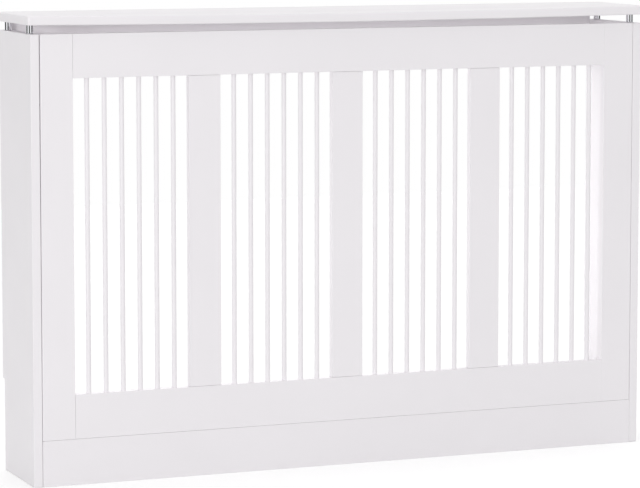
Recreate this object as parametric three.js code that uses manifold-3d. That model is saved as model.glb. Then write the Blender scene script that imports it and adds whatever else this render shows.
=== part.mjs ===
// A slatted radiator cover cabinet: a white painted box that stands over a radiator, against a wall.
//
// Two side panels carry a slatted front, a plinth board and a rear rail, and four chrome posts
// lift the shelf clear of them so that warm air can leave at the top. The back and the underside
// are open. Millimetres, +Z up, the front faces -Y. The origin is on the floor, under the middle
// of the shelf.

import * as THREE from 'three';
import { mergeVertices } from 'three/addons/utils/BufferGeometryUtils.js';
import Module from 'manifold-3d';

const wasm = await Module();
wasm.setup();

// ---- Driving dimensions ---------------------------------------------------------------------

const WIDTH = 1120;            // over the shelf
const DEPTH = 190;             // over the shelf, from its front edge to the wall
const BOARD = 15;              // thickness of every board
const BODY_HEIGHT = 740;       // side panels and front
const AIR_GAP = 15;            // between the body and the shelf
const SIDE_OVERHANG = 7;       // shelf past each side panel
const FRONT_OVERHANG = 10;     // shelf past the front
const FIT_GAP = 0.3;           // clearance wherever two pieces meet

const SHELF_CORNER = 5;        // corner radius of the shelf, seen from above
const SHELF_ARRIS = 2;         // rounding of its edges

const SKIRTING_HEIGHT = 155;   // notch at the back of each side panel, for the skirting board
const SKIRTING_DEPTH = 10;

const PLINTH_HEIGHT = 76;
const STILE_WIDTH = 56;
const BOTTOM_RAIL_HEIGHT = 74;
const TOP_RAIL_HEIGHT = 72;
const TENON_THICKNESS = 6;
const TENON_LENGTH = 16;
const TENON_SHOULDER = 12;     // rail left above and below its tenon

const WIDE_SLATS = 3;
const WIDE_SLAT_WIDTH = 55;
const WIDE_SLAT_THICKNESS = 13;
const SLATS_PER_BAY = 6;
const SLAT_DIAMETER = 8;
const SLAT_SOCKET_DEPTH = 12;  // how far the slats run into the rails

const REAR_RAIL_HEIGHT = 75;
const REAR_RAIL_CAM_HEIGHT = 30; // cam centre above the rail's lower edge

const POST_DIAMETER = 12;
const POST_INSET = 28;         // post centre to the nearer end of the side panel
const STUD_DIAMETER = 4;
const STUD_IN_PANEL = 25;
const STUD_IN_SHELF = 10;

const CAM_DIAMETER = 15;
const CAM_DEPTH = 12;
const CAM_INSET = 34;          // cam centre to the end of its board
const CAM_KEY_DEPTH = 2.5;     // screwdriver cross in the cam's face
const CAM_KEY_LENGTH = 8;
const CAM_KEY_WIDTH = 1.6;
const BOLT_THREAD_RADIUS = 3;
const BOLT_THREAD_LENGTH = 11;
const BOLT_SHANK_RADIUS = 2.5;
const BOLT_NECK_RADIUS = 1.6;
const BOLT_NECK_LENGTH = 4;
const BOLT_HEAD_RADIUS = 3;
const BOLT_HEAD_LENGTH = 3;
const STILE_CAM_INSET = 114;   // from either end of the stile

const ROUND_SEGMENTS = 16;
const OVERRUN = 1;             // how far a cutter, or a joined end, runs past the face it meets

// ---- Derived planes -------------------------------------------------------------------------

const BACK = DEPTH / 2;
const FRONT = -DEPTH / 2 + FRONT_OVERHANG;
const OUTER_SIDE = WIDTH / 2 - SIDE_OVERHANG;
const INNER_SIDE = OUTER_SIDE - BOARD;
const SHELF_UNDERSIDE = BODY_HEIGHT + AIR_GAP;
const REAR_RAIL_BOTTOM = SHELF_UNDERSIDE - FIT_GAP - REAR_RAIL_HEIGHT;

const GRILLE_BACK = FRONT + BOARD;
const GRILLE_MIDDLE = FRONT + BOARD / 2;
const GRILLE_BOTTOM = PLINTH_HEIGHT + FIT_GAP;
const OPENING_HALF_WIDTH = INNER_SIDE - STILE_WIDTH;
const OPENING_BOTTOM = PLINTH_HEIGHT + BOTTOM_RAIL_HEIGHT;
const OPENING_TOP = BODY_HEIGHT - TOP_RAIL_HEIGHT;

const BAY_WIDTH = (2 * OPENING_HALF_WIDTH - WIDE_SLATS * WIDE_SLAT_WIDTH) / (WIDE_SLATS + 1);
const BAY_PITCH = BAY_WIDTH + WIDE_SLAT_WIDTH;
const SLAT_GAP = (BAY_WIDTH - SLATS_PER_BAY * SLAT_DIAMETER) / (SLATS_PER_BAY + 1);
const SLAT_PITCH = SLAT_GAP + SLAT_DIAMETER;

// ---- Materials ------------------------------------------------------------------------------

const paint = { color: 0xf1eff3, roughness: 0.45, metalness: 0 };
const chrome = { color: 0xd4d6da, roughness: 0.12, metalness: 1 };
const zinc = { color: 0xb4b8bc, roughness: 0.4, metalness: 1 };

// ---- Solids ---------------------------------------------------------------------------------

// A box between two corners.
function box(x0, x1, y0, y1, z0, z1) {
  const geometry = new THREE.BoxGeometry(x1 - x0, y1 - y0, z1 - z0);
  return geometry.translate((x0 + x1) / 2, (y0 + y1) / 2, (z0 + z1) / 2);
}

// A round rod along +X, +Y or +Z, starting at a point.
function rod(axis, start, length, radius) {
  const geometry = new THREE.CylinderGeometry(radius, radius, length, ROUND_SEGMENTS);
  geometry.translate(0, length / 2, 0);
  if (axis === 'x') geometry.rotateZ(-Math.PI / 2);
  if (axis === 'z') geometry.rotateX(Math.PI / 2);
  return geometry.translate(...start);
}

function toSolid(geometry) {
  const bare = geometry.clone();
  bare.deleteAttribute('normal');
  bare.deleteAttribute('uv');
  const merged = mergeVertices(bare, 1e-4);
  const mesh = new wasm.Mesh({
    numProp: 3,
    vertProperties: new Float32Array(merged.attributes.position.array),
    triVerts: new Uint32Array(merged.index.array),
  });
  return new wasm.Manifold(mesh);
}

function toGeometry(solid) {
  const mesh = solid.getMesh();
  const geometry = new THREE.BufferGeometry();
  geometry.setAttribute('position', new THREE.BufferAttribute(mesh.vertProperties, 3));
  geometry.setIndex(new THREE.BufferAttribute(mesh.triVerts, 1));
  return geometry;
}

// A geometry with others joined to it or cut out of it.
function combine(geometry, joins, cuts) {
  let solid = toSolid(geometry);
  for (const piece of joins) solid = solid.add(toSolid(piece));
  for (const tool of cuts) solid = solid.subtract(toSolid(tool));
  return toGeometry(solid);
}

// ---- The object -----------------------------------------------------------------------------

const cabinet = new THREE.Group();

function addPiece(parent, name, geometry, finish) {
  const flat = geometry.index ? geometry.toNonIndexed() : geometry;
  flat.computeVertexNormals();
  const mesh = new THREE.Mesh(flat, new THREE.MeshStandardMaterial({ ...finish, flatShading: true }));
  mesh.name = name;
  parent.add(mesh);
}

const SIDES = [
  { label: 'left', sign: -1 },
  { label: 'right', sign: 1 },
];

// ---- Cam fixings: a bolt screwed into a side panel, held by a cam let into a board's end -----

const CAM_FIXINGS = [];
for (const side of SIDES) {
  const boards = [
    { board: 'stile_lower', backFace: GRILLE_BACK, z: PLINTH_HEIGHT + STILE_CAM_INSET },
    { board: 'stile_upper', backFace: GRILLE_BACK, z: BODY_HEIGHT - STILE_CAM_INSET },
    { board: 'plinth', backFace: GRILLE_BACK, z: PLINTH_HEIGHT / 2 },
    { board: 'rear_rail', backFace: BACK, z: REAR_RAIL_BOTTOM + REAR_RAIL_CAM_HEIGHT },
  ];
  for (const place of boards) CAM_FIXINGS.push({ ...place, ...side });
}

const boltAxisY = (fixing) => fixing.backFace - BOARD / 2;
const camCentreX = (fixing) => fixing.sign * (INNER_SIDE - CAM_INSET);

// A rod along the bolt's axis, between two distances from the middle of the cabinet.
function alongBolt(fixing, from, to, radius) {
  const low = fixing.sign > 0 ? from : -to;
  return rod('x', [low, boltAxisY(fixing), fixing.z], to - from, radius);
}

function boltGeometry(fixing) {
  const threadEnd = INNER_SIDE + BOLT_THREAD_LENGTH;
  const headStart = INNER_SIDE - CAM_INSET - BOLT_HEAD_LENGTH / 2;
  const neckStart = headStart + BOLT_HEAD_LENGTH;
  const shankStart = neckStart + BOLT_NECK_LENGTH;
  return combine(
    alongBolt(fixing, headStart, neckStart, BOLT_HEAD_RADIUS),
    [
      alongBolt(fixing, neckStart - OVERRUN, shankStart + OVERRUN, BOLT_NECK_RADIUS),
      alongBolt(fixing, shankStart, INNER_SIDE, BOLT_SHANK_RADIUS),
      alongBolt(fixing, INNER_SIDE - OVERRUN, threadEnd, BOLT_THREAD_RADIUS),
    ],
    [],
  );
}

function camGeometry(fixing) {
  const x = camCentreX(fixing);
  const face = fixing.backFace;
  const halfCross = CAM_KEY_LENGTH / 2;
  const halfSlot = CAM_KEY_WIDTH / 2;
  const keyFloor = face - CAM_KEY_DEPTH;
  return combine(
    rod('y', [x, face - CAM_DEPTH, fixing.z], CAM_DEPTH, CAM_DIAMETER / 2),
    [],
    [
      alongBolt(
        fixing,
        INNER_SIDE - CAM_INSET - BOLT_HEAD_LENGTH,
        INNER_SIDE - CAM_INSET + CAM_DIAMETER,
        BOLT_HEAD_RADIUS + FIT_GAP,
      ),
      box(x - halfCross, x + halfCross, keyFloor, face + OVERRUN, fixing.z - halfSlot, fixing.z + halfSlot),
      box(x - halfSlot, x + halfSlot, keyFloor, face + OVERRUN, fixing.z - halfCross, fixing.z + halfCross),
    ],
  );
}

// The pocket and the bore that a fixing needs in its board.
function boardCuts(fixing) {
  const pocketDepth = CAM_DEPTH + FIT_GAP;
  const pocketStart = [camCentreX(fixing), fixing.backFace - pocketDepth, fixing.z];
  return [
    rod('y', pocketStart, pocketDepth + OVERRUN, CAM_DIAMETER / 2 + FIT_GAP),
    alongBolt(fixing, INNER_SIDE - CAM_INSET, INNER_SIDE + OVERRUN, BOLT_HEAD_RADIUS + FIT_GAP),
  ];
}

// The bore that it needs in the side panel.
function panelCut(fixing) {
  return alongBolt(
    fixing,
    INNER_SIDE - OVERRUN,
    INNER_SIDE + BOLT_THREAD_LENGTH + FIT_GAP,
    BOLT_THREAD_RADIUS + FIT_GAP,
  );
}

const fixingsOn = (label, word) => CAM_FIXINGS.filter(
  (fixing) => fixing.label === label && fixing.board.startsWith(word),
);
const fixingsOnBoth = (word) => [...fixingsOn('left', word), ...fixingsOn('right', word)];

// ---- Posts: chrome sleeves on studs, between the side panels and the shelf -------------------

const POSTS = [];
for (const side of SIDES) {
  const x = side.sign * (OUTER_SIDE - BOARD / 2);
  POSTS.push({ name: `front_${side.label}`, label: side.label, x, y: FRONT + POST_INSET });
  POSTS.push({ name: `rear_${side.label}`, label: side.label, x, y: BACK - POST_INSET });
}

const studBottom = BODY_HEIGHT - STUD_IN_PANEL;
const studTop = SHELF_UNDERSIDE + STUD_IN_SHELF;

// The bore round a stud, with clearance at both ends.
function studBore(post) {
  const length = studTop - studBottom + 2 * FIT_GAP;
  const start = [post.x, post.y, studBottom - FIT_GAP];
  return rod('z', start, length, STUD_DIAMETER / 2 + FIT_GAP);
}

// ---- Side panels ----------------------------------------------------------------------------

function sidePanelGeometry(side) {
  const outline = new THREE.Shape([
    new THREE.Vector2(FRONT, 0),
    new THREE.Vector2(BACK - SKIRTING_DEPTH, 0),
    new THREE.Vector2(BACK - SKIRTING_DEPTH, SKIRTING_HEIGHT),
    new THREE.Vector2(BACK, SKIRTING_HEIGHT),
    new THREE.Vector2(BACK, BODY_HEIGHT),
    new THREE.Vector2(FRONT, BODY_HEIGHT),
  ]);
  const blank = new THREE.ExtrudeGeometry(outline, { depth: BOARD, bevelEnabled: false });
  const depthAndHeight = new THREE.Matrix4().makeBasis(
    new THREE.Vector3(0, 1, 0),
    new THREE.Vector3(0, 0, 1),
    new THREE.Vector3(1, 0, 0),
  );
  blank.applyMatrix4(depthAndHeight);
  blank.translate(side.sign > 0 ? INNER_SIDE : -OUTER_SIDE, 0, 0);
  const bores = [
    ...fixingsOn(side.label, '').map(panelCut),
    ...POSTS.filter((post) => post.label === side.label).map(studBore),
  ];
  return combine(blank, [], bores);
}

// ---- Shelf ----------------------------------------------------------------------------------

function shelfGeometry() {
  const halfWidth = WIDTH / 2 - SHELF_ARRIS;
  const halfDepth = DEPTH / 2 - SHELF_ARRIS;
  const radius = SHELF_CORNER - SHELF_ARRIS;
  const outline = new THREE.Shape();
  outline.absarc(halfWidth - radius, halfDepth - radius, radius, 0, Math.PI / 2);
  outline.absarc(-halfWidth + radius, halfDepth - radius, radius, Math.PI / 2, Math.PI);
  outline.absarc(-halfWidth + radius, -halfDepth + radius, radius, Math.PI, 1.5 * Math.PI);
  outline.absarc(halfWidth - radius, -halfDepth + radius, radius, 1.5 * Math.PI, 2 * Math.PI);
  const blank = new THREE.ExtrudeGeometry(outline, {
    depth: BOARD - 2 * SHELF_ARRIS,
    curveSegments: 4,
    bevelEnabled: true,
    bevelThickness: SHELF_ARRIS,
    bevelSize: SHELF_ARRIS,
    bevelSegments: 3,
  });
  blank.translate(0, 0, SHELF_UNDERSIDE + SHELF_ARRIS);
  return combine(blank, [], POSTS.map(studBore));
}

// ---- Slatted front --------------------------------------------------------------------------

const innerEnd = INNER_SIDE - FIT_GAP;

// Centres of the wide slats, and of the thin ones in every bay, from the left.
const wideSlatCentres = [];
for (let i = 1; i <= WIDE_SLATS; i += 1) {
  wideSlatCentres.push(-OPENING_HALF_WIDTH - WIDE_SLAT_WIDTH / 2 + i * BAY_PITCH);
}
const thinSlats = [];
for (let bay = 0; bay <= WIDE_SLATS; bay += 1) {
  const bayStart = -OPENING_HALF_WIDTH + bay * BAY_PITCH;
  for (let i = 0; i < SLATS_PER_BAY; i += 1) {
    const x = bayStart + SLAT_GAP + SLAT_DIAMETER / 2 + i * SLAT_PITCH;
    thinSlats.push({ name: `thin_slat_bay${bay + 1}_${i + 1}`, x });
  }
}

// A tongue halfway through the thickness of the front.
function tongue(x0, x1, z0, z1, clearance) {
  const half = TENON_THICKNESS / 2 + clearance;
  return box(
    x0 - clearance,
    x1 + clearance,
    GRILLE_MIDDLE - half,
    GRILLE_MIDDLE + half,
    z0 - clearance,
    z1 + clearance,
  );
}

const RAILS = [
  { name: 'grille_bottom_rail', z0: GRILLE_BOTTOM, z1: OPENING_BOTTOM, opening: OPENING_BOTTOM },
  { name: 'grille_top_rail', z0: OPENING_TOP, z1: BODY_HEIGHT, opening: OPENING_TOP },
];

// The tenon at one end of a rail, running into the stile.
function railTenon(rail, sign, clearance) {
  const near = OPENING_HALF_WIDTH - FIT_GAP - OVERRUN;
  const far = OPENING_HALF_WIDTH + TENON_LENGTH;
  const x0 = sign > 0 ? near : -far;
  const x1 = sign > 0 ? far : -near;
  return tongue(x0, x1, rail.z0 + TENON_SHOULDER, rail.z1 - TENON_SHOULDER, clearance);
}

// The socket depth of a slat, measured into a rail from the opening.
function socketSpan(rail, clearance) {
  const depth = SLAT_SOCKET_DEPTH + clearance;
  if (rail.opening === rail.z1) return [rail.z1 - depth, rail.z1 + OVERRUN];
  return [rail.z0 - OVERRUN, rail.z0 + depth];
}

function railGeometry(rail) {
  const end = OPENING_HALF_WIDTH - FIT_GAP;
  const [z0, z1] = socketSpan(rail, FIT_GAP);
  const radius = SLAT_DIAMETER / 2 + FIT_GAP;
  const roundSockets = thinSlats.map((slat) => rod('z', [slat.x, GRILLE_MIDDLE, z0], z1 - z0, radius));
  const halfWide = WIDE_SLAT_WIDTH / 2 - TENON_SHOULDER;
  const mortises = wideSlatCentres.map((x) => tongue(x - halfWide, x + halfWide, z0, z1, FIT_GAP));
  return combine(
    box(-end, end, FRONT, GRILLE_BACK, rail.z0, rail.z1),
    [railTenon(rail, -1, 0), railTenon(rail, 1, 0)],
    [...roundSockets, ...mortises],
  );
}

function stileGeometry(side) {
  const x0 = side.sign > 0 ? OPENING_HALF_WIDTH : -innerEnd;
  const x1 = side.sign > 0 ? innerEnd : -OPENING_HALF_WIDTH;
  return combine(
    box(x0, x1, FRONT, GRILLE_BACK, GRILLE_BOTTOM, BODY_HEIGHT),
    [],
    [
      ...RAILS.map((rail) => railTenon(rail, side.sign, FIT_GAP)),
      ...fixingsOn(side.label, 'stile').flatMap(boardCuts),
    ],
  );
}

function wideSlatGeometry(x) {
  const half = WIDE_SLAT_WIDTH / 2;
  const tenonHalf = half - TENON_SHOULDER;
  const y0 = GRILLE_MIDDLE - WIDE_SLAT_THICKNESS / 2;
  const z0 = OPENING_BOTTOM + FIT_GAP;
  const z1 = OPENING_TOP - FIT_GAP;
  return combine(
    box(x - half, x + half, y0, y0 + WIDE_SLAT_THICKNESS, z0, z1),
    [tongue(
      x - tenonHalf,
      x + tenonHalf,
      OPENING_BOTTOM - SLAT_SOCKET_DEPTH,
      OPENING_TOP + SLAT_SOCKET_DEPTH,
      0,
    )],
    [],
  );
}

function thinSlatGeometry(x) {
  const z0 = OPENING_BOTTOM - SLAT_SOCKET_DEPTH;
  const length = OPENING_TOP - OPENING_BOTTOM + 2 * SLAT_SOCKET_DEPTH;
  return rod('z', [x, GRILLE_MIDDLE, z0], length, SLAT_DIAMETER / 2);
}

// ---- Plinth and rear rail -------------------------------------------------------------------

function plinthGeometry() {
  return combine(
    box(-innerEnd, innerEnd, FRONT, GRILLE_BACK, 0, PLINTH_HEIGHT),
    [],
    fixingsOnBoth('plinth').flatMap(boardCuts),
  );
}

function rearRailGeometry() {
  const top = REAR_RAIL_BOTTOM + REAR_RAIL_HEIGHT;
  return combine(
    box(-innerEnd, innerEnd, BACK - BOARD, BACK, REAR_RAIL_BOTTOM, top),
    [],
    fixingsOnBoth('rear_rail').flatMap(boardCuts),
  );
}

// ---- Assembly -------------------------------------------------------------------------------

const frame = new THREE.Group();
for (const side of SIDES) {
  addPiece(frame, `side_panel_${side.label}`, sidePanelGeometry(side), paint);
}
addPiece(frame, 'plinth_board', plinthGeometry(), paint);
addPiece(frame, 'rear_top_rail', rearRailGeometry(), paint);
addPiece(frame, 'shelf', shelfGeometry(), paint);
cabinet.add(frame);

const grille = new THREE.Group();
for (const side of SIDES) {
  addPiece(grille, `grille_stile_${side.label}`, stileGeometry(side), paint);
}
for (const rail of RAILS) {
  addPiece(grille, rail.name, railGeometry(rail), paint);
}
wideSlatCentres.forEach((x, i) => {
  addPiece(grille, `wide_slat_${i + 1}`, wideSlatGeometry(x), paint);
});
for (const slat of thinSlats) {
  addPiece(grille, slat.name, thinSlatGeometry(slat.x), paint);
}
cabinet.add(grille);

const hardware = new THREE.Group();
for (const post of POSTS) {
  const bottom = BODY_HEIGHT + FIT_GAP;
  const height = AIR_GAP - 2 * FIT_GAP;
  const sleeve = rod('z', [post.x, post.y, bottom], height, POST_DIAMETER / 2);
  addPiece(hardware, `shelf_post_${post.name}`, combine(sleeve, [], [studBore(post)]), chrome);
  const stud = rod('z', [post.x, post.y, studBottom], studTop - studBottom, STUD_DIAMETER / 2);
  addPiece(hardware, `shelf_stud_${post.name}`, stud, zinc);
}
for (const fixing of CAM_FIXINGS) {
  const place = `${fixing.board}_${fixing.label}`;
  addPiece(hardware, `cam_bolt_${place}`, boltGeometry(fixing), zinc);
  addPiece(hardware, `cam_lock_${place}`, camGeometry(fixing), zinc);
}
cabinet.add(hardware);

export default cabinet;
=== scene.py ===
# %% [markdown]
# # A slatted radiator cover cabinet
#
# The real object is flat-pack furniture: boards of 15 mm fibreboard, sprayed with white satin
# lacquer, that stand over a radiator. Thin round slats and wider flat ones fill the front, and a
# shelf rests on four short chrome posts above an air gap.
#
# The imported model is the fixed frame: every piece below is made round it, in metres, +Z up, with
# the front towards -Y.

# %% Load the frame
import math

import bmesh
import bpy
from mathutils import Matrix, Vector


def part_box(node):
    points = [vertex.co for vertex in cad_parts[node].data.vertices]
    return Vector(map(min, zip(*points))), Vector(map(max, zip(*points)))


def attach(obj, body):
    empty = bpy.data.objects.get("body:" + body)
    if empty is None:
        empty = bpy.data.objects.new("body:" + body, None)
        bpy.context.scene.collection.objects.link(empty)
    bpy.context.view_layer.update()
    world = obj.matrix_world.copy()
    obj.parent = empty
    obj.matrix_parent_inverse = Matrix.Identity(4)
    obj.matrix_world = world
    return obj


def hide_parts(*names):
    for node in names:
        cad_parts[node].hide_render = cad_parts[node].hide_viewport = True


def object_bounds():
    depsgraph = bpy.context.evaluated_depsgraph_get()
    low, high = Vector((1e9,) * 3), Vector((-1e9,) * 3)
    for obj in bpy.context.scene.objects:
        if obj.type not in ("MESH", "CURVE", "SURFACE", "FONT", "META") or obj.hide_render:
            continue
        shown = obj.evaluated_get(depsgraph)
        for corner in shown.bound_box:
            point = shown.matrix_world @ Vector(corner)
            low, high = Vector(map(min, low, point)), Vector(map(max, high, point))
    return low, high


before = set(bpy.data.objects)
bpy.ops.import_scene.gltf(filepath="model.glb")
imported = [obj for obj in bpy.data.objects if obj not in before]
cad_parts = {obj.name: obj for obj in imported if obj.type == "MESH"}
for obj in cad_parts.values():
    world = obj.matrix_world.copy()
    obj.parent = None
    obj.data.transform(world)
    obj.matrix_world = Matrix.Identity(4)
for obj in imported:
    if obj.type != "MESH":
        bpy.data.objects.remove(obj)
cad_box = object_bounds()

scene = bpy.context.scene
print("the cabinet measures", [round(high - low, 4) for low, high in zip(*cad_box)])

# %% [markdown]
# ## Helpers
#
# Colours are written as sRGB hex values, as a paint chart gives them, and one function turns them
# into the linear values that shaders work in. Another adds a shader or geometry node with its
# settings and links, so that a material reads as a list of what goes into what.

# %% Colours and nodes
MM = 0.001


def colour(text):
    """An sRGB hex colour as linear red, green, blue and alpha."""
    channels = [int(text[i:i + 2], 16) / 255 for i in (1, 3, 5)]
    linear = [c / 12.92 if c <= 0.04045 else ((c + 0.055) / 1.055) ** 2.4 for c in channels]
    return (*linear, 1.0)


def add_node(tree, kind, inputs=None, **settings):
    """Adds a node. An input is given by name or number, as a value or as the socket that feeds it."""
    node = tree.nodes.new(kind)
    for name, value in settings.items():
        setattr(node, name, value)
    for key, value in (inputs or {}).items():
        if isinstance(value, bpy.types.NodeSocket):
            tree.links.new(value, node.inputs[key])
        else:
            node.inputs[key].default_value = value
    return node


def new_material(name):
    """An empty node material, and its output node."""
    material = bpy.data.materials.new(name)
    material.use_nodes = True
    material.node_tree.nodes.clear()
    return material, add_node(material.node_tree, "ShaderNodeOutputMaterial")


# %% [markdown]
# ## White satin lacquer on fibreboard
#
# The boards are sprayed, not brushed. Sprayed lacquer dries with a very fine orange-peel texture,
# a soft sheen that varies a little over a board, and hardly any change of colour. The white in the
# photograph leans slightly to violet, so it is mixed from two such whites in wide, soft clouds. The
# orange peel of the real thing is about 1 mm across and would be lost at this distance, so it is
# drawn 5 mm across and very shallow. Satin means a roughness of about 0.4. A noise texture seldom
# leaves the range from 0.3 to 0.7, so that range is spread over the two roughnesses.

# %% White satin lacquer
LACQUER_WHITE = "#F0EDF0"
LACQUER_SHADE = "#ECE9EC"
CLOUD_SIZE = 140 * MM
SHEEN_SIZE = 45 * MM
NOISE_LOW, NOISE_HIGH = 0.3, 0.7
SATIN_SMOOTHEST, SATIN_ROUGHEST = 0.36, 0.46
PEEL_SIZE = 5 * MM
PEEL_DEPTH = 0.2 * MM
PEEL_STRENGTH = 0.08
LACQUER_IOR = 1.5


def satin_lacquer():
    """Sprayed white: clouds of two near whites, a sheen that varies, and orange peel."""
    material, output = new_material("white_satin_lacquer_on_fibreboard")
    tree = material.node_tree
    place = add_node(tree, "ShaderNodeTexCoord").outputs["Object"]
    clouds = add_node(tree, "ShaderNodeTexNoise", {
        "Vector": place, "Scale": 1 / CLOUD_SIZE, "Detail": 2.0, "Roughness": 0.5,
    })
    white = add_node(tree, "ShaderNodeMix", {
        0: clouds.outputs[0], 6: colour(LACQUER_WHITE), 7: colour(LACQUER_SHADE),
    }, data_type="RGBA")
    sheen = add_node(tree, "ShaderNodeTexNoise", {
        "Vector": place, "Scale": 1 / SHEEN_SIZE, "Detail": 3.0, "Roughness": 0.55,
    })
    roughness = add_node(tree, "ShaderNodeMapRange", {
        "Value": sheen.outputs[0], "From Min": NOISE_LOW, "From Max": NOISE_HIGH,
        "To Min": SATIN_SMOOTHEST, "To Max": SATIN_ROUGHEST,
    })
    peel = add_node(tree, "ShaderNodeTexNoise", {
        "Vector": place, "Scale": 1 / PEEL_SIZE, "Detail": 2.0, "Roughness": 0.6,
    })
    bump = add_node(tree, "ShaderNodeBump", {
        "Height": peel.outputs[0], "Strength": PEEL_STRENGTH, "Distance": PEEL_DEPTH,
    })
    shader = add_node(tree, "ShaderNodeBsdfPrincipled", {
        "Base Color": white.outputs[2], "Roughness": roughness.outputs[0],
        "Normal": bump.outputs[0], "IOR": LACQUER_IOR,
    })
    tree.links.new(shader.outputs[0], output.inputs["Surface"])
    return material


LACQUER = satin_lacquer()
print("made", LACQUER.name)

# %% [markdown]
# ## Chrome and zinc
#
# The posts are turned steel with a bright chrome plate: almost a mirror, with faint rings left by
# the lathe. Real rings are a fifth of a millimetre apart, too fine to show, so they are drawn 2 mm
# apart. The cam locks are die-cast zinc, dull and slightly grainy, and the bolts and studs are steel
# with a thin, cloudy zinc plate.

# %% Chrome plate, die-cast zinc and zinc plate
CHROME = "#E4E5E8"
CHROME_ROUGHNESS = 0.07
CAST_ZINC = "#A9ACAE"
ZINC_PLATE = "#BFC3C6"
LATHE_PITCH = 2.2 * MM
LATHE_DEPTH = 0.02 * MM
WAVE_RADIANS = 20  # the wave texture turns by this much in one unit, at a scale of 1
CAST_GRAIN = 0.8 * MM
PLATE_CLOUD = 4 * MM
GRAIN_DEPTH = 0.05 * MM


def chrome_plate():
    """A bright mirror with faint rings round Z."""
    material, output = new_material("chrome_plate_on_turned_steel")
    tree = material.node_tree
    place = add_node(tree, "ShaderNodeTexCoord").outputs["Object"]
    rings = add_node(tree, "ShaderNodeTexWave", {
        "Vector": place, "Scale": 2 * math.pi / (WAVE_RADIANS * LATHE_PITCH), "Distortion": 0.3,
    }, bands_direction="Z")
    bump = add_node(tree, "ShaderNodeBump", {
        "Height": rings.outputs[1], "Strength": 0.03, "Distance": LATHE_DEPTH,
    })
    shader = add_node(tree, "ShaderNodeBsdfPrincipled", {
        "Base Color": colour(CHROME), "Metallic": 1.0, "Roughness": CHROME_ROUGHNESS,
        "Normal": bump.outputs[0],
    })
    tree.links.new(shader.outputs[0], output.inputs["Surface"])
    return material


def dull_zinc(name, tint, grain, smoothest, roughest):
    """Zinc with a mottled sheen between two roughnesses and a grain of the given size."""
    material, output = new_material(name)
    tree = material.node_tree
    place = add_node(tree, "ShaderNodeTexCoord").outputs["Object"]
    mottle = add_node(tree, "ShaderNodeTexNoise", {
        "Vector": place, "Scale": 1 / grain, "Detail": 4.0, "Roughness": 0.6,
    })
    roughness = add_node(tree, "ShaderNodeMapRange", {
        "Value": mottle.outputs[0], "From Min": NOISE_LOW, "From Max": NOISE_HIGH,
        "To Min": smoothest, "To Max": roughest,
    })
    bump = add_node(tree, "ShaderNodeBump", {
        "Height": mottle.outputs[0], "Strength": 0.15, "Distance": GRAIN_DEPTH,
    })
    shader = add_node(tree, "ShaderNodeBsdfPrincipled", {
        "Base Color": colour(tint), "Metallic": 1.0,
        "Roughness": roughness.outputs[0], "Normal": bump.outputs[0],
    })
    tree.links.new(shader.outputs[0], output.inputs["Surface"])
    return material


CHROME_PLATE = chrome_plate()
DIE_CAST_ZINC = dull_zinc(
    "die_cast_zinc", tint=CAST_ZINC, grain=CAST_GRAIN, smoothest=0.4, roughest=0.6,
)
ZINC_PLATED_STEEL = dull_zinc(
    "zinc_plated_steel", tint=ZINC_PLATE, grain=PLATE_CLOUD, smoothest=0.25, roughest=0.45,
)
print("made", CHROME_PLATE.name, DIE_CAST_ZINC.name, ZINC_PLATED_STEEL.name)

# %% [markdown]
# ## Boards
#
# On the real cabinet every board is cut, bored and then routed round its edges, so that a small
# rounded arris catches the light and takes the lacquer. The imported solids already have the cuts,
# tenons and sockets, but their edges are knife-sharp. So each board starts as a copy of its solid,
# with the loose triangles merged into clean faces. A Bevel modifier then rounds the edges, with the
# full width on long edges and a fraction of it on bores and sockets, and a Weighted Normal modifier
# keeps the broad faces flat in the light. That keeps the joinery, which boxes made from
# scratch would lose.

# %% A clean copy of a solid
SHARP_ANGLE = math.radians(40)
FLAT_ANGLE = math.radians(1)
SHORT_EDGE = 12 * MM
RIM_SHARE = 0.2
SAME_PLACE = 0.1 * MM
SAME_POINT = 0.001 * MM


def on_outer_side(edge, outer_x):
    """Whether an edge lies in the plane that faces away from the cabinet's middle."""
    return all(abs(abs(vert.co.x) - outer_x) < SAME_PLACE for vert in edge.verts)


def merged_copy(node, inner_share, fit, cuts):
    """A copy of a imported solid's mesh, its triangles merged into flat faces.

    Its sharp edges get bevel weights: full on the outer side, and a share elsewhere. A board that
    bends is cut across at some places along X. The fit is a function that moves a corner to where
    the real, less than perfect board has it.
    """
    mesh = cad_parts[node].data.copy()
    outer_x = max(abs(corner[0]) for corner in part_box(node))
    shape = bmesh.new()
    shape.from_mesh(mesh)
    bmesh.ops.remove_doubles(shape, verts=shape.verts, dist=SAME_POINT)
    bmesh.ops.dissolve_limit(shape, angle_limit=FLAT_ANGLE, verts=shape.verts, edges=shape.edges)
    weight = shape.edges.layers.float.new("bevel_weight_edge")
    for edge in shape.edges:
        if edge.calc_face_angle(0) > SHARP_ANGLE:
            share = 1.0 if on_outer_side(edge, outer_x) else inner_share
            edge[weight] = share if edge.calc_length() > SHORT_EDGE else share * RIM_SHARE
    for x in cuts:
        bmesh.ops.bisect_plane(
            shape, geom=[*shape.verts, *shape.edges, *shape.faces],
            plane_co=(x, 0, 0), plane_no=(1, 0, 0), dist=SAME_POINT,
        )
    if fit:
        for vert in shape.verts:
            fit(vert.co)
    shape.to_mesh(mesh)
    shape.free()
    return mesh


# %% [markdown]
# Every piece is an object at the origin, with its place in its mesh, as the imported nodes are. When
# its modifiers have done their work, the result becomes a plain mesh. Then it is hung on the body
# that it rides on, and the imported nodes that it stands for are hidden.


# %% Finishing a piece
def new_piece(name, mesh, material):
    """An object at the origin that shows a mesh in one material."""
    piece = bpy.data.objects.new(name, mesh)
    scene.collection.objects.link(piece)
    mesh.materials.clear()
    mesh.materials.append(material)
    return piece


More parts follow.
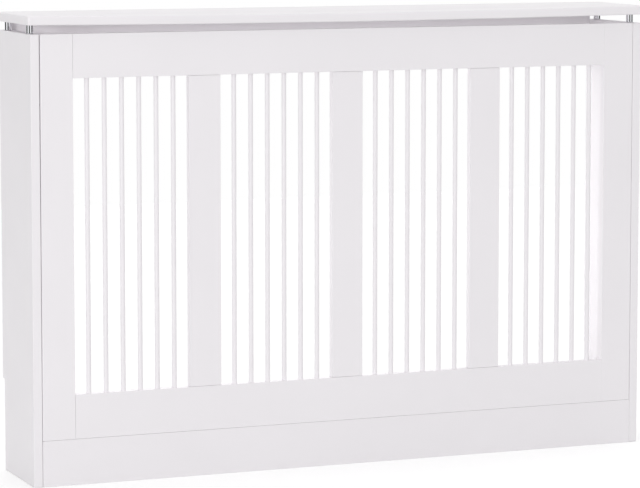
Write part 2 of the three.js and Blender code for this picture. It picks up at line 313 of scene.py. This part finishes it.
def apply_modifiers(piece):
    """Replaces a piece's mesh by what its modifiers make of it."""
    graph = bpy.context.evaluated_depsgraph_get()
    result = bpy.data.meshes.new_from_object(piece.evaluated_get(graph))
    result.name = piece.name
    piece.modifiers.clear()
    piece.data = result


def place_piece(piece, nodes):
    """Hangs a finished piece on the root body and hides the nodes that it stands for."""
    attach(piece, "root")
    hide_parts(*nodes)
    print(piece.name, len(piece.data.polygons), "faces")


# %% [markdown]
# A board is made from its node's name and the width of its arris. It may also have a wider arris on
# its outer side, a function that fits it to its neighbours, and places to be cut across to bend.

# %% A function for boards
ARRIS_STEPS = 3


def make_board(node, arris, outer_arris=None, fit=None, cuts=()):
    """A lacquered board with rounded edges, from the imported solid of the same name."""
    outer_arris = outer_arris or arris
    mesh = merged_copy(node, arris / outer_arris, fit, cuts)
    piece = new_piece("lacquered_" + node, mesh, LACQUER)
    for polygon in piece.data.polygons:
        polygon.use_smooth = True
    bevel = piece.modifiers.new("routed edges", "BEVEL")
    bevel.limit_method = "WEIGHT"
    bevel.width = outer_arris
    bevel.segments = ARRIS_STEPS
    normals = piece.modifiers.new("flat faces", "WEIGHTED_NORMAL")
    normals.weight = 100  # the most that large faces can count
    apply_modifiers(piece)
    place_piece(piece, [node])


# %% [markdown]
# The edges aren't all routed alike. The side panels and the outer edges of the slatted front have a
# rounding that the hand feels, and where the two meet it shows as a dark upright line. The front's
# own boards are glued up tight, with edges only just eased, so that their joints barely show.
#
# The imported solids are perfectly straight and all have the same 0.3 mm of play. On the real cabinet
# the slatted front stands a little off the left panel, most at the top, while its right glue joints
# are shut. The shelf is held by posts at its ends alone, and by the rear rail under its back edge,
# so the middle of its front edge hangs by 3 mm, about what a 15 mm fibreboard of that length does.

# %% How the real boards fit
PLAY = 0.3 * MM
CLOSED_BY = 0.25 * MM
OPEN_AT_TOP = 1.15 * MM
SHELF_HANGS = 3.3 * MM

front_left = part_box("grille_stile_left")[0][0]
front_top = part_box("grille_stile_left")[1][2]
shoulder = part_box("grille_stile_right")[0][0] - PLAY
shelf_low, shelf_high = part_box("shelf")
post_x = (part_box("shelf_post_rear_right")[0][0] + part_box("shelf_post_rear_right")[1][0]) / 2


def open_left_joint(corner):
    """Moves the front's left face away from the side panel, most at the top."""
    if abs(corner.x - front_left) < SAME_PLACE:
        corner.x += OPEN_AT_TOP * corner.z / front_top


def close_right_joint(corner):
    """Moves a rail's right shoulder up to the stile."""
    if abs(corner.x - shoulder) < SAME_PLACE:
        corner.x += CLOSED_BY


def hang_between_posts(corner):
    """Lowers a corner of the shelf: not at the posts or the back edge, most at the front middle."""
    along = max(1 - (corner.x / post_x) ** 2, 0)
    across = (shelf_high[1] - corner.y) / (shelf_high[1] - shelf_low[1])
    corner.z -= SHELF_HANGS * along * across


print("the shelf hangs between posts", round(2 * post_x / MM), "mm apart")

# %% Every board
EASED = 0.25 * MM
ROUTED = 2.0 * MM
STILE_ROUTED = 1.5 * MM
CUT_EVERY = 60 * MM
CUTS_EACH_WAY = 9

SIDE_PANELS = ["side_panel_left", "side_panel_right"]
RAILS = ["grille_bottom_rail", "grille_top_rail"]
WIDE_SLATS = [name for name in sorted(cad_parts) if name.startswith("wide_slat_")]

for name in SIDE_PANELS:
    make_board(name, ROUTED)
make_board("grille_stile_left", EASED, STILE_ROUTED, open_left_joint)
make_board("grille_stile_right", EASED, STILE_ROUTED)
for name in RAILS:
    make_board(name, EASED, fit=close_right_joint)
for name in [*WIDE_SLATS, "plinth_board", "rear_top_rail"]:
    make_board(name, EASED)
shelf_cuts = [step * CUT_EVERY for step in range(-CUTS_EACH_WAY, CUTS_EACH_WAY + 1)]
make_board("shelf", EASED, fit=hang_between_posts, cuts=shelf_cuts)

# %% [markdown]
# ## Thin slats
#
# The thin slats are 8 mm dowels, six in each of the four bays between the stiles and the wide
# slats, let into sockets in both rails. They repeat at one pitch inside a bay and at another from
# bay to bay, which is what Geometry Nodes are for: a line of bays, a line of slats in each, and one
# dowel, with chamfered ends like a real one, on every point.


# %% A new node tree
def new_tree(name, inputs):
    """A geometry node tree with named inputs, and its input and output nodes."""
    tree = bpy.data.node_groups.new(name, "GeometryNodeTree")
    for label, kind in inputs.items():
        tree.interface.new_socket(name=label, in_out="INPUT", socket_type="NodeSocket" + kind)
    tree.interface.new_socket(name="Geometry", in_out="OUTPUT", socket_type="NodeSocketGeometry")
    return tree, add_node(tree, "NodeGroupInput").outputs, add_node(tree, "NodeGroupOutput")


# %% [markdown]
# Instance on Points copies a line of slat places to every point of a line of bays. Realize Instances
# then turns the copies into real points.


# %% The places of the slats
def points_in_bays(tree, given):
    """Adds nodes that put one point at the foot of every slat."""
    bay_step = add_node(tree, "ShaderNodeCombineXYZ", {0: given["Bay Pitch"]})
    slat_step = add_node(tree, "ShaderNodeCombineXYZ", {0: given["Slat Pitch"]})
    bays = add_node(tree, "GeometryNodeMeshLine", {
        "Count": given["Bays"], "Start Location": given["First Slat"], "Offset": bay_step.outputs[0],
    })
    row = add_node(tree, "GeometryNodeMeshLine", {
        "Count": given["Slats in a Bay"], "Offset": slat_step.outputs[0],
    })
    rows = add_node(tree, "GeometryNodeInstanceOnPoints", {
        "Points": bays.outputs[0], "Instance": row.outputs[0],
    })
    return add_node(tree, "GeometryNodeRealizeInstances", {0: rows.outputs[0]})


# %% [markdown]
# The dowel is a circle swept along an upright line. The line has four points: its two ends, and two
# more where the chamfers start. At the ends the circle is smaller, and that makes the chamfers. To get
# the four points, three short lines are turned into meshes, merged where they meet, and turned back
# into one curve.


# %% A dowel with chamfered ends
def chamfered_dowel(tree, given):
    """Adds nodes that make one upright dowel, its foot at the origin."""
    top = add_node(tree, "ShaderNodeCombineXYZ", {2: given["Length"]})
    chamfer_start = add_node(tree, "ShaderNodeCombineXYZ", {2: given["End Chamfer"]})
    chamfer_end = add_node(tree, "ShaderNodeVectorMath", {
        0: top.outputs[0], 1: chamfer_start.outputs[0],
    }, operation="SUBTRACT")
    lower = add_node(tree, "GeometryNodeCurvePrimitiveLine", {1: chamfer_start.outputs[0]})
    middle = add_node(tree, "GeometryNodeCurvePrimitiveLine", {
        0: chamfer_start.outputs[0], 1: chamfer_end.outputs[0],
    })
    upper = add_node(tree, "GeometryNodeCurvePrimitiveLine", {
        0: chamfer_end.outputs[0], 1: top.outputs[0],
    })
    parts = add_node(tree, "GeometryNodeJoinGeometry")
    for part in (lower, middle, upper):
        wire = add_node(tree, "GeometryNodeCurveToMesh", {0: part.outputs[0]})
        tree.links.new(wire.outputs[0], parts.inputs[0])
    joined = add_node(tree, "GeometryNodeMergeByDistance", {
        "Geometry": parts.outputs[0], "Distance": SAME_PLACE,
    })
    axis = add_node(tree, "GeometryNodeMeshToCurve", {0: joined.outputs[0]})
    ends = add_node(tree, "GeometryNodeCurveEndpointSelection")
    radius = add_node(tree, "ShaderNodeMath", {
        0: given["Diameter"], 1: 2.0,
    }, operation="DIVIDE")
    end_radius = add_node(tree, "ShaderNodeMath", {
        0: radius.outputs[0], 1: given["End Chamfer"],
    }, operation="SUBTRACT")
    radius_here = add_node(tree, "GeometryNodeSwitch", {
        0: ends.outputs[0], 1: radius.outputs[0], 2: end_radius.outputs[0],
    }, input_type="FLOAT")
    section = add_node(tree, "GeometryNodeCurvePrimitiveCircle", {
        "Resolution": given["Sides"], "Radius": 1.0,
    })
    return add_node(tree, "GeometryNodeCurveToMesh", {
        "Curve": axis.outputs[0], "Profile Curve": section.outputs[0],
        "Scale": radius_here.outputs[0], "Fill Caps": True,
    })


# %% [markdown]
# The whole tree puts a dowel on every point, makes the copies real, because an exported model has no
# instances, and gives them their finish.


# %% The tree for slats in bays
def slats_in_bays():
    tree, given, output = new_tree("Slats in bays", {
        "Geometry": "Geometry", "Bays": "Int", "Bay Pitch": "Float", "Slats in a Bay": "Int",
        "Slat Pitch": "Float", "First Slat": "Vector", "Diameter": "Float", "Length": "Float",
        "End Chamfer": "Float", "Sides": "Int", "Finish": "Material",
    })
    slats = add_node(tree, "GeometryNodeInstanceOnPoints", {
        "Points": points_in_bays(tree, given).outputs[0],
        "Instance": chamfered_dowel(tree, given).outputs[0],
    })
    real = add_node(tree, "GeometryNodeRealizeInstances", {0: slats.outputs[0]})
    finished = add_node(tree, "GeometryNodeSetMaterial", {
        "Geometry": real.outputs[0], "Material": given["Finish"],
    })
    tree.links.new(finished.outputs[0], output.inputs[0])
    return tree


# %% [markdown]
# A tree is run by a Nodes modifier. Its inputs are set by the identifiers of their sockets, because
# names may repeat.


# %% Running a tree
def grow(name, tree, mesh, values):
    """A piece whose mesh a node tree makes from an input mesh and named values."""
    piece = bpy.data.objects.new(name, mesh)
    scene.collection.objects.link(piece)
    modifier = piece.modifiers.new(tree.name, "NODES")
    modifier.node_group = tree
    sockets = {item.name: item.identifier for item in tree.interface.items_tree}
    for label, value in values.items():
        modifier[sockets[label]] = value
    apply_modifiers(piece)
    return piece


def shade_by_angle(piece, angle):
    """Smooth shading, except across edges sharper than an angle."""
    for polygon in piece.data.polygons:
        polygon.use_smooth = True
    piece.data.set_sharp_from_angle(angle=angle)


# %% [markdown]
# The sizes come from the frame: the first slat's box gives the diameter, length and starting point,
# and the distances to its neighbours give the two pitches.


# %% The thin slats
def middle_of(node):
    low, high = (Vector(corner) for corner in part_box(node))
    return (low + high) / 2


THIN_SLATS = [name for name in sorted(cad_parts) if name.startswith("thin_slat_")]
BAYS = len(WIDE_SLATS) + 1
DOWEL_CHAMFER = 1 * MM
DOWEL_SIDES = 32
first_low, first_high = (Vector(corner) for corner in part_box("thin_slat_bay1_1"))
first_middle = middle_of("thin_slat_bay1_1")

thin_slats = grow("lacquered_thin_slats", slats_in_bays(), bpy.data.meshes.new("slats"), {
    "Bays": BAYS,
    "Bay Pitch": middle_of("thin_slat_bay2_1").x - first_middle.x,
    "Slats in a Bay": len(THIN_SLATS) // BAYS,
    "Slat Pitch": middle_of("thin_slat_bay1_2").x - first_middle.x,
    "First Slat": (first_middle.x, first_middle.y, first_low.z),
    "Diameter": first_high.x - first_low.x,
    "Length": first_high.z - first_low.z,
    "End Chamfer": DOWEL_CHAMFER,
    "Sides": DOWEL_SIDES,
    "Finish": LACQUER,
})
shade_by_angle(thin_slats, SHARP_ANGLE)
place_piece(thin_slats, THIN_SLATS)

# %% [markdown]
# ## Posts and cam locks
#
# Both are small turned or cast parts that appear several times. Each is drawn once as a profile and
# spun about its axis, and a second node tree puts a copy on every point of a small mesh that holds
# their places.


# %% A turned part
def turned_mesh(name, profile, sides):
    """A closed solid of revolution about Z. The profile lists radius and height, in metres."""
    shape = bmesh.new()
    corners = [shape.verts.new((radius, 0, height)) for radius, height in profile]
    edges = [shape.edges.new(pair) for pair in zip(corners, corners[1:])]
    if profile[0][0] > 0:
        edges.append(shape.edges.new((corners[-1], corners[0])))
    bmesh.ops.spin(
        shape, geom=corners + edges, cent=(0, 0, 0), axis=(0, 0, 1),
        angle=2 * math.pi, steps=sides, use_duplicate=False,
    )
    bmesh.ops.remove_doubles(shape, verts=shape.verts, dist=SAME_POINT / 2)
    bmesh.ops.recalc_face_normals(shape, faces=shape.faces)
    mesh = bpy.data.meshes.new(name)
    shape.to_mesh(mesh)
    shape.free()
    return mesh


# %% [markdown]
# The second tree takes its part from an object and its places from the points of the mesh that it
# runs on.


# %% Copies at points
def copies_at_points():
    tree, given, output = new_tree("Copies at points", {
        "Geometry": "Geometry", "Part": "Object", "Finish": "Material",
    })
    part = add_node(tree, "GeometryNodeObjectInfo", {"Object": given["Part"]})
    copies = add_node(tree, "GeometryNodeInstanceOnPoints", {
        "Points": given["Geometry"], "Instance": part.outputs["Geometry"],
    })
    real = add_node(tree, "GeometryNodeRealizeInstances", {0: copies.outputs[0]})
    finished = add_node(tree, "GeometryNodeSetMaterial", {
        "Geometry": real.outputs[0], "Material": given["Finish"],
    })
    tree.links.new(finished.outputs[0], output.inputs[0])
    return tree


COPIES = copies_at_points()


def copy_to_places(name, part, places, material):
    """One piece made of copies of a part, one at each place. The part itself is removed."""
    points = bpy.data.meshes.new(name)
    points.from_pydata(places, [], [])
    piece = grow(name, COPIES, points, {"Part": part, "Finish": material})
    bpy.data.objects.remove(part)
    shade_by_angle(piece, SHARP_ANGLE)
    return piece


# %% [markdown]
# The posts are plain round sleeves, bored for a stud, with a small chamfer at both ends. A chamfer
# shows as a fine bright line where the post meets the shelf.

# %% Chrome posts
POSTS = [name for name in sorted(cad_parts) if name.startswith("shelf_post_")]
post_low, post_high = (Vector(corner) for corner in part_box(POSTS[0]))
stud_low, stud_high = (Vector(corner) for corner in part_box("shelf_stud_front_left"))
POST_RADIUS = (post_high.x - post_low.x) / 2
POST_HALF = (post_high.z - post_low.z) / 2
BORE_RADIUS = (stud_high.x - stud_low.x) / 2 + PLAY
POST_CHAMFER = 0.4 * MM
POST_SIDES = 64

post_profile = [
    (BORE_RADIUS, -POST_HALF),
    (POST_RADIUS - POST_CHAMFER, -POST_HALF),
    (POST_RADIUS, -POST_HALF + POST_CHAMFER),
    (POST_RADIUS, POST_HALF - POST_CHAMFER),
    (POST_RADIUS - POST_CHAMFER, POST_HALF),
    (BORE_RADIUS, POST_HALF),
]
post = new_piece("post", turned_mesh("post", post_profile, POST_SIDES), CHROME_PLATE)
posts = copy_to_places("chrome_posts", post, [middle_of(name) for name in POSTS], CHROME_PLATE)
place_piece(posts, POSTS)

# %% [markdown]
# A cam lock is a round zinc casting sunk flush into the back of a board. Its face has a cross for a
# screwdriver inside a shallow ring. The body is spun, and Boolean modifiers cut the cross and the
# bore that takes the bolt's head.

# %% The body of a cam lock
CAMS = [name for name in sorted(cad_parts) if name.startswith("cam_lock_")]
cam_low, cam_high = (Vector(corner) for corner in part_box(CAMS[0]))
CAM_RADIUS = (cam_high.x - cam_low.x) / 2
CAM_HALF = (cam_high.y - cam_low.y) / 2
RING_OUTER = 5.6 * MM
RING_INNER = 5.0 * MM
RING_DEPTH = 0.5 * MM
CAM_CHAMFER = 0.5 * MM
CROSS_LENGTH = 8 * MM
CROSS_WIDTH = 1.6 * MM
CROSS_DEPTH = 2.5 * MM
HEAD_BORE = 3.3 * MM
HEAD_BORE_ABOVE_FLOOR = 4.5 * MM
CAM_SIDES = 48
BORE_SIDES = 24

cam_profile = [
    (0, -CAM_HALF),
    (CAM_RADIUS, -CAM_HALF),
    (CAM_RADIUS, CAM_HALF - CAM_CHAMFER),
    (CAM_RADIUS - CAM_CHAMFER, CAM_HALF),
    (RING_OUTER, CAM_HALF),
    (RING_OUTER, CAM_HALF - RING_DEPTH),
    (RING_INNER, CAM_HALF - RING_DEPTH),
    (RING_INNER, CAM_HALF),
    (0, CAM_HALF),
]
cam = new_piece("cam", turned_mesh("cam", cam_profile, CAM_SIDES), DIE_CAST_ZINC)
print("spun a cam", round(2 * CAM_RADIUS / MM, 1), "mm across")

# %% [markdown]
# A Boolean modifier takes one closed mesh away from another. The cross is cut as two boxes, one after
# the other, so that neither cutter crosses itself.


# %% The cross
def box_mesh(name, low, high):
    """A box between two corners."""
    shape = bmesh.new()
    bmesh.ops.create_cube(shape, size=1.0)
    for vert in shape.verts:
        vert.co = [l + (c + 0.5) * (h - l) for l, c, h in zip(low, vert.co, high)]
    mesh = bpy.data.meshes.new(name)
    shape.to_mesh(mesh)
    shape.free()
    return mesh


def cut(piece, cutter_mesh):
    """Cuts one mesh out of a piece."""
    cutter = new_piece("cutter", cutter_mesh, piece.data.materials[0])
    boolean = piece.modifiers.new("cut", "BOOLEAN")
    boolean.operation = "DIFFERENCE"
    boolean.object = cutter
    apply_modifiers(piece)
    bpy.data.objects.remove(cutter)


cross_floor = CAM_HALF - CROSS_DEPTH
for half_x, half_y in ((CROSS_LENGTH / 2, CROSS_WIDTH / 2), (CROSS_WIDTH / 2, CROSS_LENGTH / 2)):
    cut(cam, box_mesh("cross", (-half_x, -half_y, cross_floor), (half_x, half_y, CAM_HALF + MM)))
print("cam face", len(cam.data.polygons), "faces")

# %% [markdown]
# The casting is turned so that its face looks to the back (+Y), and its bore is cut along X, which
# is the way that every bolt runs.

# %% Turn the cam, bore it and copy it
for vert in cam.data.vertices:
    x, y, z = vert.co
    vert.co = (x, z, -y)

bore_profile = [
    (0, -CAM_RADIUS - MM), (HEAD_BORE, -CAM_RADIUS - MM), (HEAD_BORE, CAM_RADIUS + MM),
    (0, CAM_RADIUS + MM),
]
bore = turned_mesh("bore", bore_profile, BORE_SIDES)
for vert in bore.vertices:
    x, y, z = vert.co
    vert.co = (z, y - CAM_HALF + HEAD_BORE_ABOVE_FLOOR, -x)
cut(cam, bore)

cams = copy_to_places("cam_locks", cam, [middle_of(name) for name in CAMS], DIE_CAST_ZINC)
place_piece(cams, CAMS)

# %% [markdown]
# Bolts and studs sit inside the boards and posts, where nothing but their shape matters. The
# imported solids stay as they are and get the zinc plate.

# %% Bolts and studs
hidden = [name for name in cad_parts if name.startswith(("cam_bolt_", "shelf_stud_"))]
for name in hidden:
    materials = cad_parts[name].data.materials
    materials.clear()
    materials.append(ZINC_PLATED_STEEL)
print(len(hidden), "bolts and studs in", ZINC_PLATED_STEEL.name)

# %% [markdown]
# ## Floor, light and camera
#
# The photograph is a studio shot on white. The floor is a plain pale plane. To the camera, and in
# reflections, it is lifted with emission until it is only just white, so that it meets a white
# background without a line and still shows the cabinet's faint shadow.

# %% Floor
FLOOR_GREY = "#D4D4D4"
FLOOR_LIFT = 0.39
FLOOR_HALF = 4.0  # metres from the middle to an edge


def studio_floor():
    material, output = new_material("matt_white_studio_floor")
    tree = material.node_tree
    rays = add_node(tree, "ShaderNodeLightPath").outputs
    matt = add_node(tree, "ShaderNodeBsdfDiffuse", {"Color": colour(FLOOR_GREY)})
    seen = add_node(tree, "ShaderNodeMath", {
        0: rays["Is Camera Ray"], 1: rays["Is Glossy Ray"],
    }, operation="MAXIMUM")
    seen_or_through = add_node(tree, "ShaderNodeMath", {
        0: seen.outputs[0], 1: rays["Is Transmission Ray"],
    }, operation="MAXIMUM")
    lift = add_node(tree, "ShaderNodeMath", {
        0: seen_or_through.outputs[0], 1: FLOOR_LIFT,
    }, operation="MULTIPLY")
    glow = add_node(tree, "ShaderNodeEmission", {"Strength": lift.outputs[0]})
    both = add_node(tree, "ShaderNodeAddShader", {0: matt.outputs[0], 1: glow.outputs[0]})
    tree.links.new(both.outputs[0], output.inputs["Surface"])
    return material


floor_mesh = bpy.data.meshes.new("floor")
floor_mesh.from_pydata(
    [(x * FLOOR_HALF, y * FLOOR_HALF, 0) for x, y in ((-1, -1), (1, -1), (1, 1), (-1, 1))],
    [], [(0, 1, 2, 3)],
)
new_piece("studio_floor", floor_mesh, studio_floor())
print("laid a floor", 2 * FLOOR_HALF, "m wide")

# %% [markdown]
# A white room lights every side nearly alike, so most of the light comes from the world: an even
# level all round, more from the ceiling, and a little more from the right, where the far wall
# throws the lamp's light back.

# %% Light from the room
ROOM_LIGHT = 0.60
CEILING_LIGHT = 0.55
FAR_WALL_LIGHT = 0.22

world = bpy.data.worlds.new("white_studio")
scene.world = world
world.use_nodes = True
tree = world.node_tree
tree.nodes.clear()
direction = add_node(tree, "ShaderNodeSeparateXYZ", {
    0: add_node(tree, "ShaderNodeTexCoord").outputs["Generated"],
}).outputs
upward = add_node(tree, "ShaderNodeMath", {0: direction[2], 1: 0.0}, operation="MAXIMUM")
room = add_node(tree, "ShaderNodeMath", {
    0: upward.outputs[0], 1: CEILING_LIGHT, 2: ROOM_LIGHT,
}, operation="MULTIPLY_ADD")
room_and_wall = add_node(tree, "ShaderNodeMath", {
    0: direction[0], 1: FAR_WALL_LIGHT, 2: room.outputs[0],
}, operation="MULTIPLY_ADD")

# %% [markdown]
# Reflections see the studio as it stands round a shiny part: a bright panel on either side of the
# photograph's camera and a bright wall behind the cabinet, with dark gaps between them. That gives
# the chrome posts their dark upright lines. Where something stands is its bearing, an angle round
# the cabinet from the camera's side. It all stands still in the room when another view is taken.

# %% Which bearings are bright
CAMERA_YAW = math.radians(21.99)
GAP_BESIDE_CAMERA = math.radians(18)
PANEL_END = math.radians(60)
SIDE_GAP_END = math.radians(115)
DARK_LEVEL = 0.04

back_x = add_node(tree, "ShaderNodeMath", {0: direction[0], 1: -1.0}, operation="MULTIPLY")
back_y = add_node(tree, "ShaderNodeMath", {0: direction[1], 1: -1.0}, operation="MULTIPLY")
bearing = add_node(tree, "ShaderNodeMath", {
    0: back_x.outputs[0], 1: back_y.outputs[0],
}, operation="ARCTAN2")
turned_bearing = add_node(tree, "ShaderNodeMath", {
    0: bearing.outputs[0], 1: CAMERA_YAW,
}, operation="SUBTRACT")
off_camera = add_node(tree, "ShaderNodeMath", {0: turned_bearing.outputs[0]}, operation="ABSOLUTE")
past_camera = add_node(tree, "ShaderNodeMath", {
    0: off_camera.outputs[0], 1: GAP_BESIDE_CAMERA,
}, operation="GREATER_THAN")
before_panel_end = add_node(tree, "ShaderNodeMath", {
    0: off_camera.outputs[0], 1: PANEL_END,
}, operation="LESS_THAN")
on_panel = add_node(tree, "ShaderNodeMath", {
    0: past_camera.outputs[0], 1: before_panel_end.outputs[0],
}, operation="MULTIPLY")
on_wall = add_node(tree, "ShaderNodeMath", {
    0: off_camera.outputs[0], 1: SIDE_GAP_END,
}, operation="GREATER_THAN")
bright = add_node(tree, "ShaderNodeMath", {
    0: on_panel.outputs[0], 1: on_wall.outputs[0],
}, operation="MAXIMUM")
reflected = add_node(tree, "ShaderNodeMath", {
    0: bright.outputs[0], 1: DARK_LEVEL,
}, operation="MAXIMUM")

# %% [markdown]
# The Light Path node tells what kind of ray asks. The camera, and anything seen through glass, gets
# plain white, reflections get the panels, and all other light is the room's.

# %% What each kind of ray gets
WHITE = (1, 1, 1, 1)
rays = add_node(tree, "ShaderNodeLightPath").outputs
light = add_node(tree, "ShaderNodeBackground", {
    "Color": WHITE, "Strength": room_and_wall.outputs[0],
})
background = add_node(tree, "ShaderNodeBackground", {"Color": WHITE, "Strength": 1.0})
studio = add_node(tree, "ShaderNodeBackground", {"Color": WHITE, "Strength": reflected.outputs[0]})
light_or_studio = add_node(tree, "ShaderNodeMixShader", {
    0: rays["Is Glossy Ray"], 1: light.outputs[0], 2: studio.outputs[0],
})
seen = add_node(tree, "ShaderNodeMath", {
    0: rays["Is Camera Ray"], 1: rays["Is Transmission Ray"],
}, operation="MAXIMUM")
all_rays = add_node(tree, "ShaderNodeMixShader", {
    0: seen.outputs[0], 1: light_or_studio.outputs[0], 2: background.outputs[0],
})
add_node(tree, "ShaderNodeOutputWorld", {"Surface": all_rays.outputs[0]})
print("the world has", len(tree.nodes), "nodes")

# %% [markdown]
# Three lamps add to it. A softbox far to the left, a little above the shelf, shines through the air
# gap on the rear rail and gives every round slat a light and a darker side. A weaker panel right
# behind the cabinet, as photographers use it to keep a white background white, lights the slats'
# edges and the inner faces. A narrow strip with a grid in front of it, behind at the left, lights
# only the inner face of the right panel, which shows through the last gap. The camera sees no lamp.

# %% Lamps
CABINET_MIDDLE = (Vector(cad_box[0]) + Vector(cad_box[1])) / 2
STRIP_HEIGHT = 0.38
inner_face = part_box("side_panel_right")[0][0]


def add_lamp(name, place, size, power, aim=CABINET_MIDDLE, spread=math.pi):
    """A rectangular soft lamp that faces a point. A grid in front of it narrows its spread."""
    data = bpy.data.lights.new(name, "AREA")
    data.shape = "RECTANGLE"
    data.size, data.size_y = size
    data.energy = power
    data.spread = spread
    lamp = bpy.data.objects.new(name, data)
    lamp.location = place
    lamp.rotation_euler = (Vector(aim) - Vector(place)).to_track_quat("-Z", "Y").to_euler()
    lamp.visible_camera = False
    scene.collection.objects.link(lamp)
    print(name, power, "W")


add_lamp("softbox", place=(-5.55, -6.04, 1.30), size=(2.0, 0.8), power=190.0)
add_lamp("panel_behind", place=(0.0, 0.60, 0.42), size=(1.0, 0.7), power=2.0)
add_lamp(
    "gridded_strip", place=(-0.60, 0.90, STRIP_HEIGHT), size=(0.08, 0.62), power=0.046,
    aim=(inner_face, 0.065, STRIP_HEIGHT), spread=math.radians(8),
)

# %% [markdown]
# The camera stands about 5.2 m from the cabinet's middle, at the front left and a little above the
# shelf, with a long lens. The photograph's uprights are parallel, as a shift lens makes them, so part
# of the downward view comes from a small shift instead of tilt.

# %% Camera
CAMERA_PLACE = Vector((-1.9351, -4.7519, 0.9837))
CAMERA_TILT = math.radians(5.639)
LENS_MM = 169.58
SENSOR_MM = 36.0
SHIFT_DOWN = 0.1

camera_data = bpy.data.cameras.new("camera")
camera_data.sensor_width = SENSOR_MM
camera_data.lens = LENS_MM
camera_data.shift_y = -SHIFT_DOWN
camera_data.clip_end = 100.0
camera = bpy.data.objects.new("camera", camera_data)
camera.location = CAMERA_PLACE
camera.rotation_euler = (math.pi / 2 - CAMERA_TILT, 0.0, -CAMERA_YAW)
scene.collection.objects.link(camera)
scene.camera = camera
scene.view_settings.view_transform = "Standard"
print("the camera is", round((CAMERA_PLACE - CABINET_MIDDLE).length, 2), "m from the middle")
